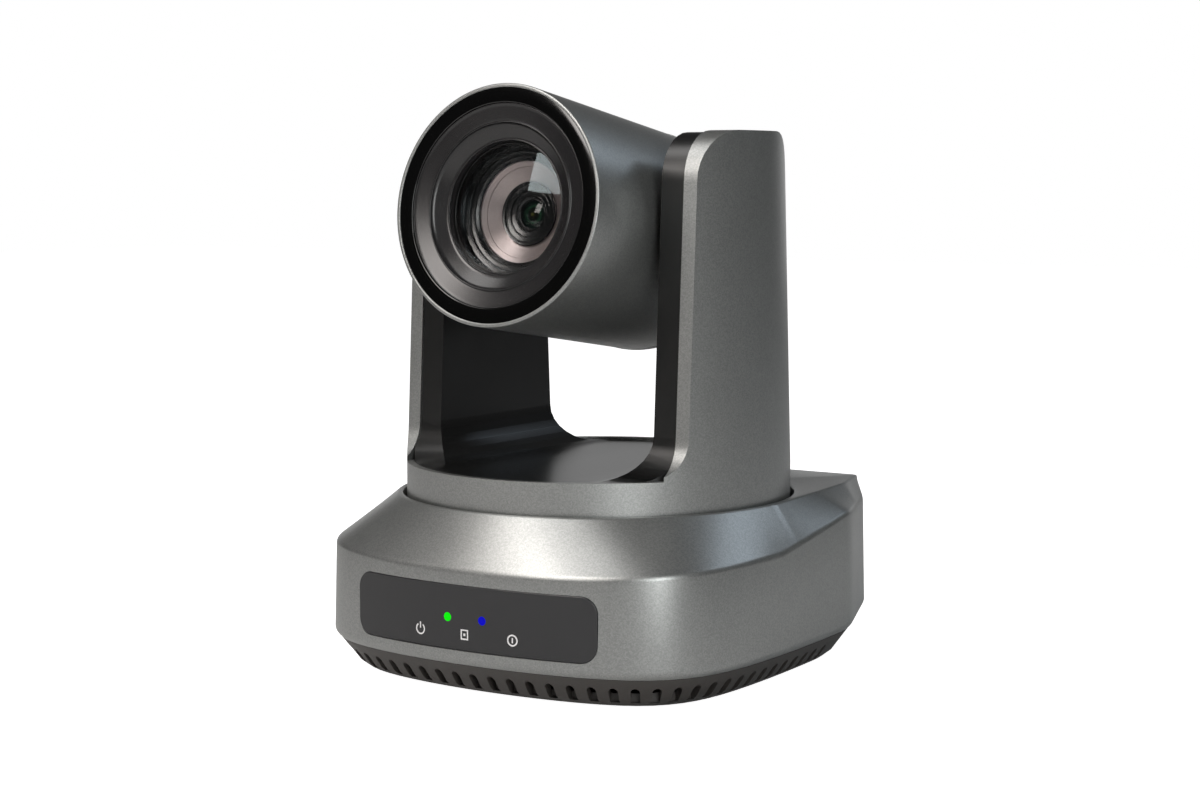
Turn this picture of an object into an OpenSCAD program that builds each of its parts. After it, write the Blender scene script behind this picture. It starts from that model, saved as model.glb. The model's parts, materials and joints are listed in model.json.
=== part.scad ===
// PTZ conference camera: a base, a turntable with two arms, and a tilting camera head.
// Millimetres. +Z is up, the front faces -Y, and the pan axis is X = Y = 0.

/* [Base] */
// Width across the base's sides
base_w = 142; // [130:1:170]
// Pan axis to the middle of the front wall
base_front = 71.4; // [68:0.2:85]
// Pan axis to the back wall
base_back = 73.2; // [70:0.2:88]
// Radius of the front wall seen from above
front_radius = 188; // [150:1:260]
// Radius of each bulged side wall seen from above
side_radius = 600; // [300:10:1200]
// Squareness of the two front corners seen from above
corner_power = 7.2; // [5:0.1:16]
// Half the width of the back wall, between the rear corner facets
rear_half_w = 56; // [45:0.2:60]
// How far behind the pan axis each rear corner facet starts
facet_y = 33; // [20:1:45]
// Height of the flat top of the base above the floor
base_top = 53.1; // [46:0.2:60]
// Height of the ridge round the base at the middle of the front
ridge_front = 37.5; // [34:0.2:40]
// How much higher the ridge is at the sides
ridge_rise = 2.8; // [0:0.1:4]
// How much the ridge climbs for each millimetre towards the rear corners
ridge_climb = 0.155; // [0:0.005:0.2]
// Height of the cover's lower edge above the floor
cover_edge = 10.1; // [8:0.1:12]
// Wall of the base cover
cover_wall = 2.4; // [1.6:0.1:3]
// How far the wall leans in between its lower edge and the ridge
cover_lean = 0.7; // [0:0.1:2]

/* [Bottom] */
// How far the feet stand below the tray
foot_proud = 1; // [0.6:0.1:2]
// Radius of a foot
foot_r = 6.5; // [4:0.5:9]
// How far the sloped vent wall runs in under the cover
vent_inset = 8; // [5:0.5:10]
// Width of a vent slot
slot_w = 2.7; // [1.5:0.1:4]
// Spacing of the vent slots along the wall
slot_pitch = 6.3; // [5:0.1:10]
// Height of a vent slot above the tray's underside
slot_top = 6.2; // [4:0.1:7]
// Thickness of the tray
tray_wall = 2.2; // [1.6:0.1:3]
// Major radius of the tripod thread (1/4-20 UNC)
thread_r = 3.175; // [3.175:4.7625]

/* [Front window] */
// Half the width of the dark window
window_half_w = 42; // [30:0.5:48]
// Height of the window's lower edge
window_low = 14.4; // [12:0.1:16]
// Height of the window's upper edge
window_high = 33.4; // [26:0.1:34]
// Radius of the window's corners
window_corner = 5; // [2:0.5:8]
// How far the window sits back from the wall
window_set_back = 0.5; // [0.2:0.1:1]
// Thickness of the window
window_t = 1; // [0.8:0.1:1.4]
// Spacing of the two signal lights
light_gap = 12; // [8:0.5:24]
// Radius of a signal light
light_r = 1.35; // [1:0.05:2.5]

/* [Turntable] */
// Outer radius of the turntable's lip
table_r = 59.2; // [57:0.2:60]
// Gap between the turntable and the base cover
table_gap = 1.2; // [0.8:0.1:1.6]
// Height of the lip above the base's flat top
lip_h = 9.5; // [7:0.1:14]
// Wall of the turntable and arm shell
arm_wall = 2.2; // [1.6:0.1:3]

/* [Arms] */
// Height of the arms above the lip
arm_h = 100.2; // [92:0.2:110]
// Half the width of an arm, just under its top corners
arm_half_w = 26.6; // [26:0.2:32]
// How much the half-width grows for each millimetre down
arm_flare = 0.055; // [0:0.005:0.07]
// Radius of the arm's top corners
arm_corner = 15; // [8:0.5:16]
// Radius where the arm's edges run into the lip
arm_fillet = 12; // [6:0.5:16]
// Inward lean of the arm's outer face, in degrees
arm_lean = 1.5; // [0:0.1:2]
// Pan axis to the inner face of each arm
cheek_x = 38.3; // [37.5:0.1:41]
// Pan axis to the seam between the black liner and the painted shell
seam_x = 46; // [45:0.2:48]
// Radius between the arm's inner face and the floor
floor_fillet = 13; // [6:1:16]

/* [Head] */
// Height of the tilt axis above the lip
tilt_h = 70.3; // [69:0.1:74]
// Upward tilt of the lens in the rest pose, in degrees
rest_tilt = 8.7; // [0:0.1:20]
// Outer radius of the head at its front edge
head_r = 35.6; // [33:0.1:36]
// Tilt axis to the head's front edge
head_front = 55.6; // [50:0.2:60]
// Tilt axis to the seam of the rear cap
cap_seam = 24; // [18:0.5:26]
// Tilt axis to the head's rearmost point
head_back = 40; // [36:0.5:46]
// How much the head's radius shrinks for each millimetre backwards
head_taper = 0.01; // [0:0.001:0.02]
// Wall of the head's shell
head_wall = 2; // [1.5:0.1:2.6]
// Width of the painted rim round the head's front
rim_w = 1.2; // [0.8:0.1:2]
// Inner radius of the glossy front bezel
bezel_r = 29.7; // [28:0.1:31]
// Radius of the step between the two cone rings
step_r = 24.2; // [22.5:0.1:27]
// Radius of the lens opening
lens_r = 19.5; // [18:0.1:21]

/* [Drives] */
// Module of the pan gears
pan_module = 1; // [0.8:0.1:1]
// Teeth on the pan gear
pan_teeth = 96; // [84:4:96]
// Teeth on the pan motor's pinion
pan_pinion_teeth = 18; // [17:1:20]
// Module of the tilt gears
tilt_module = 0.5; // [0.4:0.05:0.5]
// Teeth on the tilt gear
tilt_teeth = 72; // [60:4:72]
// Teeth on the tilt motor's pinion
tilt_pinion_teeth = 18; // [17:1:20]
// Thickness taken off each tooth so the gears run freely
backlash = 0.12; // [0.08:0.01:0.2]

/* [Hidden] */

$fn = 64;
// Clearance between two pieces that are put together by hand
fit_gap = 0.1;
// Radial clearance of a shaft that turns in its bearing
run_gap = 0.04;
// Room between pieces that move past each other
free_gap = 0.4;
// Extra reach of a cut past the face it opens
over = 1;
// Straight steps round the base outline
outline_steps = 96;
// Straight steps in a rounded corner of a flat outline
corner_steps = 8;

lip_z = base_top + lip_h;
tilt_z = lip_z + tilt_h;
arm_slope = tan(arm_lean);
opening_r = table_r + table_gap;
crest_w = 1.4;
board_t = 1.6;

// ---- Outline of the base: distance from the pan axis in direction a -----------------------

function total(v, i = 0) = i == len(v) ? 0 : v[i] + total(v, i + 1);
function soft_min(v, power) =
    let (low = min(v)) low * pow(total([for (x = v) pow(low / x, power)]), -1 / power);
function to_circle(a, cx, cy, r) =
    let (d = cx * cos(a) + cy * sin(a)) d + sqrt(d * d + r * r - cx * cx - cy * cy);
function to_line(a, facing, d) = cos(a - facing) > 0.05 ? d / cos(a - facing) : 20 * d;

facet_a = atan2(base_w / 2 - rear_half_w, base_back - facet_y);
facet_d = rear_half_w * cos(facet_a) + base_back * sin(facet_a);
// Squareness of the facet corners seen from above
crisp = 150;

function front_r(a, inset) = soft_min([
    to_circle(a, 0, front_radius - base_front, front_radius - inset),
    to_circle(a, side_radius - base_w / 2, 0, side_radius - inset),
    to_circle(a, base_w / 2 - side_radius, 0, side_radius - inset)
], corner_power);
function wall_r(a, inset = 0) = soft_min([
    front_r(a, inset),
    to_line(a, facet_a, facet_d - inset),
    to_line(a, 180 - facet_a, facet_d - inset),
    to_line(a, 90, base_back - inset)
], crisp);

top_side = opening_r + crest_w + 0.3;
top_side_a = 4;
top_facet_a = 15.2;
top_facet_d = facet_d - 7.8;
function top_r(a, inset = 0) = soft_min([
    sin(a) < 0 ? opening_r + crest_w - inset : 2 * base_back,
    to_line(a, top_side_a, top_side - inset),
    to_line(a, 180 - top_side_a, top_side - inset),
    to_line(a, top_facet_a, top_facet_d - inset),
    to_line(a, 180 - top_facet_a, top_facet_d - inset),
    to_line(a, 90, base_back - inset)
], 2 * crisp);

climb_from = -10;
function ridge_z(x, y) = ridge_front + ridge_rise * min(1, pow(x / (base_w / 2), 2))
    + ridge_climb * max(0, min(y, facet_y) - climb_from);

function ring(radii, z) = [for (i = [0:outline_steps - 1])
    let (a = i * 360 / outline_steps) [radii[i] * cos(a), radii[i] * sin(a), z]];
function wall_ring(inset, z) = ring([for (i = [0:outline_steps - 1])
    wall_r(i * 360 / outline_steps, inset)], z);
function top_ring(inset, z) = ring([for (i = [0:outline_steps - 1])
    top_r(i * 360 / outline_steps, inset)], z);
function ridge_ring(inset, drop) = [for (p = wall_ring(inset, 0))
    [p.x, p.y, ridge_z(p.x, p.y) - drop]];

// A closed skin through rings of points, lowest ring first
module skin(rings) {
    n = len(rings[0]);
    last = len(rings) - 1;
    points = [for (r = rings) for (p = r) p];
    sides = [for (k = [0:last - 1]) for (i = [0:n - 1])
        let (a = k * n + i, b = k * n + (i + 1) % n) each [[a, a + n, b], [b, a + n, b + n]]];
    ends = [[for (i = [0:n - 1]) i], [for (i = [n - 1:-1:0]) last * n + i]];
    polyhedron(points, concat(sides, ends), convexity = 6);
}

function circle_ring(r, z) = ring([for (i = [0:outline_steps - 1]) r], z);

// A closed skin through rings of points that run up the outside and down the inside of a shell
module round_skin(rings) {
    n = len(rings[0]);
    count = len(rings);
    points = [for (r = rings) for (p = r) p];
    sides = [for (k = [0:count - 1]) for (i = [0:n - 1])
        let (j = (i + 1) % n, up = (k + 1) % count * n, a = k * n + i, b = k * n + j)
        each [[a, up + i, b], [b, up + i, up + j]]];
    polyhedron(points, sides, convexity = 6);
}

// ---- Small helpers ---------------------------------------------------------------------------

module along_x(x) { translate([x, 0, 0]) rotate([0, 90, 0]) children(); }
module along_y(y) { translate([0, y, 0]) rotate([-90, 0, 0]) children(); }
module tube(r_out, r_in, h) {
    difference() {
        cylinder(r = r_out, h = h);
        translate([0, 0, -over]) cylinder(r = r_in, h = h + 2 * over);
    }
}
module slab(x0, x1, y0, y1, z0, z1) { translate([x0, y0, z0]) cube([x1 - x0, y1 - y0, z1 - z0]); }
// A rounded rectangle in the XZ plane, from y0 back to y1
module rounded_plate(half_w, low, high, corner, y0, y1) {
    translate([0, y1, 0]) rotate([90, 0, 0]) linear_extrude(y1 - y0) union() {
        translate([-half_w, low + corner]) square([2 * half_w, high - low - 2 * corner]);
        translate([-half_w + corner, low]) square([2 * (half_w - corner), high - low]);
        for (x = [-1, 1], z = [low + corner, high - corner])
            translate([x * (half_w - corner), z]) circle(r = corner);
    }
}
// A pan-head screw, its head's underside at z = 0 and its shank going up
module screw(shank_r, shank_h, head_r, head_h) {
    difference() {
        union() {
            cylinder(r = shank_r, h = shank_h);
            translate([0, 0, -head_h]) cylinder(r = head_r, h = head_h);
        }
        translate([0, 0, -head_h - over]) {
            for (turn = [0, 90]) rotate([0, 0, turn])
                slab(-head_r * 0.6, head_r * 0.6, -head_r * 0.13, head_r * 0.13, 0, over + head_h * 0.6);
        }
    }
}

// ---- Involute gears --------------------------------------------------------------------------

pressure_a = 20;
flank_steps = 3;
function involute(a) = tan(a) * 180 / PI - a;
function tooth_half(m, teeth, r) =
    let (pitch = m * teeth / 2, base_r = pitch * cos(pressure_a), a = r > base_r ? acos(base_r / r) : 0)
    90 / teeth - backlash / 2 / pitch * 180 / PI + involute(pressure_a) - involute(a);
function gear_points(m, teeth) =
    let (pitch = m * teeth / 2, tip = pitch + m, root = pitch - 1.25 * m,
         start = max(root + 0.1 * m, pitch * cos(pressure_a)),
         radii = [for (k = [0:flank_steps]) start + (tip - start) * k / flank_steps])
    [for (t = [0:teeth - 1]) let (mid = t * 360 / teeth) each concat(
        [[root, mid - tooth_half(m, teeth, start)]],
        [for (r = radii) [r, mid - tooth_half(m, teeth, r)]],
        [for (k = [flank_steps:-1:0]) [radii[k], mid + tooth_half(m, teeth, radii[k])]],
        [[root, mid + tooth_half(m, teeth, start)]])];
module gear(m, teeth, h, bore_r) {
    difference() {
        linear_extrude(h) polygon([for (p = gear_points(m, teeth)) [p[0] * cos(p[1]), p[0] * sin(p[1])]]);
        translate([0, 0, -over]) cylinder(r = bore_r, h = h + 2 * over);
    }
}

// ---- Base ------------------------------------------------------------------------------------

edge_turn = 1.6;
edge_h = 1.5;
boss_r = 3.6;
screw_r = 1.5;
boss_top = base_top - 5.2;
boss_at = [[-50, -42], [50, -42], [-45, 56], [45, 56]];
floor_z = foot_proud + tray_wall;
screw_head_r = 2.7;
screw_head_h = 1.2;
foot_seat = 1.2;
foot_at = [[-39, -46.5], [39, -46.5], [-36, 48], [36, 48]];
bush_r = 6;
bush_h = 8;
window_face = base_front - window_set_back;
arc_y = front_radius - base_front;
panel_half_w = 45;
panel_low = cover_edge + 4.2;
panel_high = panel_low + 20;
panel_t = 2;
panel_face = base_back - 0.6;

// The curved slab between two depths behind the front wall
module front_arc(near, far, z0, z1) {
    intersection() {
        translate([0, arc_y, z0]) difference() {
            cylinder(r = front_radius - near, h = z1 - z0, $fn = 256);
            translate([0, 0, -over]) cylinder(r = front_radius - far, h = z1 - z0 + 2 * over, $fn = 256);
        }
        slab(-base_w, base_w, -2 * base_front, 0, z0, z1);
    }
}

module base_cover() {
    color("#8f8d88") difference() {
        union() {
            round_skin([
                wall_ring(edge_turn, cover_edge),
                wall_ring(0, cover_edge + edge_h),
                ridge_ring(cover_lean, 0),
                top_ring(0, base_top),
                circle_ring(opening_r, base_top),
                circle_ring(opening_r, base_top - cover_wall - 1),
                ridge_ring(cover_wall + cover_lean, cover_wall / 2),
                wall_ring(cover_wall, cover_edge)
            ]);
            for (p = boss_at) translate([p.x, p.y, floor_z + fit_gap])
                cylinder(r = boss_r, h = boss_top - floor_z);
        }
        for (p = boss_at) translate([p.x, p.y, 0]) cylinder(r = screw_r, h = floor_z + 12);
        // seat for the front window, with an opening for the lights and the receiver behind it
        intersection() {
            rounded_plate(window_half_w, window_low, window_high, window_corner, -2 * base_front, 0);
            front_arc(-over * 4, window_set_back + window_t + fit_gap, window_low, window_high);
        }
        slab(-10, 10, -base_front - over, -base_front + 2 * cover_wall, window_low + 2.9, window_high - 4.1);
        // opening for the rear panel
        slab(-panel_half_w - fit_gap, panel_half_w + fit_gap, base_back - 3 * cover_wall, base_back + over,
            panel_low - fit_gap, panel_high + fit_gap);
    }
}

function outline_point(a) = wall_r(a, vent_inset / 2) * [cos(a), sin(a)];
function outline_speed(a) = norm(outline_point(a + 0.5) - outline_point(a - 0.5));
function slot_angles(a, end) = a > end ? []
    : concat([a], slot_angles(a + slot_pitch / outline_speed(a), end));
function outward(a) = let (d = outline_point(a + 0.5) - outline_point(a - 0.5)) atan2(-d.x, d.y);
vent_to = 22;
vent_reach = 5.3;
slot_low = 1.2;

module vent_slot(a) {
    p = outline_point(a);
    translate([p.x, p.y, 0]) rotate([0, 0, outward(a)]) {
        round_z = foot_proud + slot_top - slot_w / 2;
        slab(-vent_reach, vent_reach, -slot_w / 2, slot_w / 2, foot_proud + slot_low, round_z);
        translate([-vent_reach, 0, round_z])
            along_x(0) cylinder(r = slot_w / 2, h = 2 * vent_reach, $fn = 24);
    }
}

module bottom_tray() {
    lip_inset = cover_wall + fit_gap;
    lip_t = 1.4;
    lip_top = cover_edge + 3;
    rim_z = cover_edge - fit_gap;
    bottom_turn = 1.4;
    color("#34302c") difference() {
        union() {
            skin([
                wall_ring(vent_inset + bottom_turn, foot_proud),
                wall_ring(vent_inset - bottom_turn, floor_z - 0.1),
                wall_ring(edge_turn, rim_z),
                wall_ring(lip_inset, rim_z + 0.05),
                wall_ring(lip_inset, lip_top),
                wall_ring(lip_inset + lip_t, lip_top),
                wall_ring(lip_inset + lip_t, rim_z),
                wall_ring(vent_inset + bottom_turn + 1, floor_z)
            ]);
            translate([0, 0, foot_proud + tray_wall / 2])
                cylinder(r = bush_r + tray_wall, h = bush_h + tray_wall / 2);
        }
        for (a = slot_angles(-90, vent_to)) vent_slot(a);
        for (a = slot_angles(-90, vent_to)) if (a > -89) mirror([1, 0, 0]) vent_slot(a);
        slab(-panel_half_w - over, panel_half_w + over, base_back / 2, base_back, rim_z + 0.4, base_top);
        translate([0, 0, foot_proud - over]) cylinder(r = bush_r + fit_gap / 4, h = bush_h + over);
        for (p = boss_at) translate([p.x, p.y, -over]) {
            cylinder(r = screw_r + fit_gap, h = 10);
            cylinder(r = screw_head_r + fit_gap, h = foot_proud + over + screw_head_h + fit_gap);
        }
        for (p = foot_at) translate([p.x, p.y, foot_proud - over])
            cylinder(r = foot_r + fit_gap, h = over + foot_seat);
    }
}

module base_screws() {
    color("#3a3a3c") for (p = boss_at) translate([p.x, p.y, foot_proud + screw_head_h])
        screw(screw_r - fit_gap / 2, 11, screw_head_r, screw_head_h);
}

module rubber_feet() {
    foot_edge = 0.6;
    color("#1c1c1d") for (p = foot_at) translate([p.x, p.y, 0]) rotate_extrude()
        polygon([[0, 0], [foot_r - foot_edge, 0], [foot_r, foot_edge],
            [foot_r, foot_proud + foot_seat - fit_gap], [0, foot_proud + foot_seat - fit_gap]]);
}

module tripod_bush() {
    color("#b9a15c") translate([0, 0, foot_proud]) difference() {
        cylinder(r = bush_r, h = bush_h - fit_gap);
        translate([0, 0, -over]) cylinder(r = thread_r, h = bush_h - 1.5 + over);
    }
}

module front_window() {
    color("#39383b") intersection() {
        rounded_plate(window_half_w - fit_gap, window_low + fit_gap, window_high - fit_gap,
            window_corner - fit_gap, -2 * base_front, 0);
        front_arc(window_set_back, window_set_back + window_t, window_low, window_high);
    }
}

light_z = (window_low + window_high) / 2 - 0.1;
light_y = -window_face + window_t + 2 * fit_gap;
module signal_light(x) {
    board_y = light_y + 4;
    translate([x, light_y, light_z]) along_y(0) {
        cylinder(r = light_r, h = board_y - light_y - fit_gap);
        translate([0, 0, 2]) cylinder(r = light_r + 0.4, h = board_y - light_y - 2 - fit_gap);
    }
}
module power_light() { color("#22e02a") signal_light(-light_gap / 2); }
module standby_light() { color("#1a1ad0") signal_light(light_gap / 2); }
module ir_receiver() {
    color("#17171a") slab(-2.3, 2.3, light_y, light_y + 4 - fit_gap,
        light_z - 5.5, light_z - 1.9);
}
module light_board() {
    color("#1f5a38") slab(-16, 16, light_y + 4, light_y + 4 + board_t,
        window_low + 1.4, window_high - 3.1);
}

socket_floor = panel_low + 0.4;
board_z = socket_floor - board_t;
module main_board() {
    hole_r = 1.6;
    color("#1f5a38") difference() {
        slab(-48, 48, -40, panel_face - panel_t - 3, board_z, board_z + board_t);
        for (p = post_at) translate([p.x, p.y, 0]) cylinder(r = hole_r, h = base_top);
        translate([0, 0, board_z - over]) cylinder(r = bush_r + 3, h = 4 * over);
        for (p = boss_at) translate([p.x, p.y, 0]) cylinder(r = boss_r + free_gap, h = base_top);
    }
}

module heat_sink() {
    fins = 7;
    pitch = 4;
    color("#2b2b2d") translate([-13, -34, board_z + board_t + 0.05]) {
        cube([26, 22, 1.6]);
        for (k = [0:fins - 1]) translate([k * pitch, 0, 0]) cube([1, 22, 7]);
    }
}

module rear_panel() {
    color("#2a2a2c") difference() {
        rounded_plate(panel_half_w, panel_low, panel_high, 2, panel_face - panel_t, panel_face);
        for (s = socket_list) slab(s[0] - s[1] / 2 - fit_gap, s[0] + s[1] / 2 + fit_gap, 0, base_back + over,
            s[2] - fit_gap, s[2] + s[3] + fit_gap);
        for (s = round_list) translate([s[0], 0, s[1]]) along_y(0)
            cylinder(r = s[2] + fit_gap, h = base_back + over);
    }
}

// Sockets with straight sides: middle in X, width, lower edge, height
lan = [-36, 15.4, socket_floor + 0.05, 13];
usb = [-18, 12, socket_floor + 0.05, 10.8];
hdmi = [0, 15, socket_floor + 0.05, 6];
rocker = [37.5, 8.4, socket_floor + 2, 12.4];
socket_list = [lan, usb, hdmi, rocker];
// Round sockets: middle in X, middle in Z, radius
serial = [15.5, socket_floor + 5.2, 4.9];
audio = [24.5, socket_floor + 3.4, 2.9];
dc = [28.6, socket_floor + 11.6, 3.9];
dial = [15.5, socket_floor + 14.4, 3];
round_list = [serial, audio, dc, dial];
socket_depth = 13;

module box_socket(s) {
    translate([s[0] - s[1] / 2, panel_face - socket_depth, s[2]]) cube([s[1], socket_depth, s[3]]);
}
// A port's cavity, open to the rear: margins at the sides, below and above, and its depth
module cavity(s, side, low, high, depth) {
    slab(s[0] - s[1] / 2 + side, s[0] + s[1] / 2 - side, panel_face - depth, panel_face + over,
        s[2] + low, s[2] + s[3] - high);
}
module lan_socket() {
    color("#b8bcc0") difference() {
        box_socket(lan);
        cavity(lan, 1.8, 2.6, 2.4, 11);
        cavity(lan, 4.6, 1, 2.4, 11);
    }
}
module usb_socket() {
    color("#c2c5c8") union() {
        difference() {
            box_socket(usb);
            cavity(usb, 0.8, 0.8, 0.8, 11);
        }
        slab(usb[0] - 2.8, usb[0] + 2.8, panel_face - 12, panel_face - 2, usb[2] + 3.7, usb[2] + 6.9);
    }
}
module hdmi_socket() {
    color("#c2c5c8") union() {
        difference() {
            box_socket(hdmi);
            cavity(hdmi, 0.6, 0.6, 0.6, 11);
        }
        slab(hdmi[0] - 5.5, hdmi[0] + 5.5, panel_face - 12, panel_face - 2, hdmi[2] + 2.5, hdmi[2] + 3.5);
    }
}
module round_socket(s, depth) {
    translate([s[0], panel_face - depth, s[1]]) along_y(0) cylinder(r = s[2], h = depth);
}
module serial_socket() {
    pin_r = 0.4;
    ring_r = 2.6;
    color("#8d8f92") union() {
        difference() {
            round_socket(serial, socket_depth);
            translate([serial[0], panel_face - 7, serial[1]]) along_y(0) cylinder(r = 4.3, h = 8);
        }
        for (a = [0:45:315])
            translate([serial[0] + ring_r * cos(a), panel_face - 8, serial[1] + ring_r * sin(a)])
                along_y(0) cylinder(r = pin_r, h = 6, $fn = 16);
    }
}
audio_bore = 1.78;
module audio_jack() {
    color("#26262a") difference() {
        round_socket(audio, socket_depth);
        translate([audio[0], panel_face - socket_depth + 1, audio[1]]) along_y(0)
            cylinder(r = audio_bore, h = socket_depth + over);
    }
}
module dc_jack() {
    color("#26262a") union() {
        difference() {
            round_socket(dc, socket_depth);
            translate([dc[0], panel_face - 10, dc[1]]) along_y(0) cylinder(r = 2.8, h = 12);
        }
        translate([dc[0], panel_face - 11, dc[1]]) along_y(0) cylinder(r = 1.05, h = 9.5);
    }
}
rocker_wall = 1;
rocker_mid = [rocker[0], panel_face - 3.2, rocker[2] + rocker[3] / 2];
rocker_pin = 0.8;
module switch_frame() {
    color("#1d1d1f") difference() {
        box_socket(rocker);
        cavity(rocker, rocker_wall, rocker_wall, rocker_wall, 10);
        translate(rocker_mid) along_x(-rocker[1])
            cylinder(r = rocker_pin + run_gap, h = 2 * rocker[1], $fn = 32);
    }
}
rocker_swing = 8;
module power_switch() {
    half_w = rocker[1] / 2 - rocker_wall - 0.15;
    half_h = rocker[3] / 2 - rocker_wall - free_gap;
    dish = 30;
    color("#17171a") translate(rocker_mid) rotate([-rocker_swing, 0, 0]) {
        difference() {
            slab(-half_w, half_w, -1.4, 2.2, -half_h, half_h);
            translate([0, 2.2 + dish - 0.8, 0]) along_x(-half_w - over)
                cylinder(r = dish, h = 2 * half_w + 2 * over, $fn = 128);
        }
        along_x(-rocker[1] / 2 + 0.2) cylinder(r = rocker_pin, h = rocker[1] - 0.4, $fn = 32);
    }
}
module selector_dial() {
    color("#e8e6e0") translate([dial[0], panel_face - 6, dial[1]]) along_y(0) difference() {
        cylinder(r = dial[2], h = 5.7);
        translate([-dial[2] * 0.7, -0.4, 4.7]) cube([dial[2] * 1.4, 0.8, over + 1]);
    }
}

// ---- Pan drive -------------------------------------------------------------------------------

frame_z = base_top - 26.8;
frame_t = 2;
bearing_r = 25;
bearing_h = 7;
hub_r = 18;
hub_bore = 13;
pan_gear_z = base_top - 13.8;
pan_gear_h = 4;
pan_pinion_a = 135;
pan_centre = pan_module * (pan_teeth + pan_pinion_teeth) / 2;
pan_motor_at = pan_centre * [cos(pan_pinion_a), sin(pan_pinion_a)];
pan_shaft_r = 1.5;
pan_motor_r = 11;
post_at = [[-38, -32], [38, -32], [-26, 52], [38, 48]];

module base_frame() {
    post_r = 4;
    half = 46;
    color("#9ea2a5") difference() {
        union() {
            slab(-half, half, -36, 56, frame_z, frame_z + frame_t);
            translate([0, 0, frame_z]) cylinder(r = bearing_r + 3, h = bearing_h + 1);
            for (p = post_at) translate([p.x, p.y, board_z + board_t + 0.05])
                cylinder(r = post_r, h = frame_z - board_z - board_t);
            for (p = post_at) translate([p.x, p.y, floor_z]) cylinder(r = 1.5, h = frame_z - floor_z);
            for (p = post_at) translate([p.x, p.y, floor_z])
                cylinder(r = post_r, h = board_z - floor_z - 0.05);
        }
        translate([0, 0, frame_z + 1]) cylinder(r = bearing_r + 0.02, h = bearing_h + over);
        translate([0, 0, frame_z - over]) cylinder(r = bearing_r - 3, h = 4 * over);
        translate([pan_motor_at.x, pan_motor_at.y, frame_z - over])
            cylinder(r = 4.2, h = frame_t + 2 * over);
        for (p = boss_at) translate([p.x, p.y, frame_z - over])
            cylinder(r = boss_r + free_gap, h = frame_t + 2 * over);
    }
}
module pan_bearing() {
    color("#c9ccd0") translate([0, 0, frame_z + 1]) difference() {
        cylinder(r = bearing_r, h = bearing_h);
        translate([0, 0, -over]) cylinder(r = hub_r + run_gap, h = bearing_h + 2 * over);
    }
}
module pan_motor() {
    body_h = frame_z - board_z - board_t - 1.5;
    color("#a8abae") translate([pan_motor_at.x, pan_motor_at.y, 0]) difference() {
        union() {
            translate([0, 0, frame_z - body_h]) cylinder(r = pan_motor_r, h = body_h - 0.05);
            translate([0, 0, frame_z - over]) cylinder(r = 4, h = over + frame_t + 1);
        }
        translate([0, 0, frame_z - 3]) cylinder(r = pan_shaft_r + run_gap, h = 10);
    }
}
module pan_pinion() {
    // a gap of the pinion faces the pan axis when a tooth of the gear points at it
    gear_phase = pan_pinion_a * pan_teeth / 360;
    tooth_off = (gear_phase - floor(gear_phase)) * 360 / pan_pinion_teeth;
    half_turn = pan_pinion_teeth % 2 == 0 ? 180 / pan_pinion_teeth : 0;
    color("#d8d4c6") translate([pan_motor_at.x, pan_motor_at.y, 0]) {
        translate([0, 0, pan_gear_z]) rotate([0, 0, pan_pinion_a + tooth_off + half_turn])
            gear(pan_module, pan_pinion_teeth, pan_gear_h, pan_shaft_r - 0.2);
        translate([0, 0, frame_z - 3 + 0.2])
            cylinder(r = pan_shaft_r, h = pan_gear_z + pan_gear_h - frame_z + 2.8);
    }
}
module pan_gear() {
    color("#d8d4c6") translate([0, 0, pan_gear_z]) gear(pan_module, pan_teeth, pan_gear_h, 40);
}
table_z = base_top - 9.7;
table_t = 3;
module turntable() {
    color("#9ea2a5") difference() {
        union() {
            translate([0, 0, table_z])
                cylinder(r = table_r - arm_wall - fit_gap, h = table_t, $fn = 128);
            translate([0, 0, frame_z + 2]) cylinder(r = hub_r, h = table_z - frame_z);
            translate([0, 0, frame_z + bearing_h + 1.2 + free_gap])
                cylinder(r = 39.9, h = table_z - frame_z - bearing_h);
        }
        translate([0, 0, frame_z]) cylinder(r = hub_bore, h = table_z);
        for (a = [45:90:315]) rotate([0, 0, a]) translate([table_screw_at, 0, frame_z])
            cylinder(r = screw_r + fit_gap, h = table_z);
    }
}
table_screw_at = 32;

// ---- Turntable shell and arms ----------------------------------------------------------------

// Side outline of the arms above the lip, as [y, height over the lip], shrunk by inset
function flank(h) = arm_half_w + arm_flare * (arm_h - arm_corner - h);
function arc(cx, cy, r, from, to) = [for (k = [0:corner_steps])
    let (a = from + (to - from) * k / corner_steps) [cx + r * cos(a), cy + r * sin(a)]];
function arm_side(inset) = concat(
    [[2 * table_r, -2 * lip_h], [2 * table_r, -inset]],
    arc(flank(arm_fillet) + arm_fillet, arm_fillet, arm_fillet + inset, 270, 180),
    arc(arm_half_w - arm_corner, arm_h - arm_corner, arm_corner - inset, 0, 90)
);
function both_sides(half) = concat(half, [for (k = [len(half) - 1:-1:0]) [-half[k].x, half[k].y]]);
module arm_prism(inset, x0, x1) {
    translate([x0, 0, lip_z]) rotate([90, 0, 90]) linear_extrude(x1 - x0)
        polygon(both_sides(arm_side(inset)));
}
skirt_z = base_top - 6.6;
module arm_cone(inset) {
    translate([0, 0, skirt_z - over])
        cylinder(r = table_r - inset, h = lip_z - skirt_z + over, $fn = 128);
    translate([0, 0, lip_z])
        cylinder(r1 = table_r - inset, r2 = table_r - inset - arm_slope * arm_h, h = arm_h, $fn = 128);
}
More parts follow.
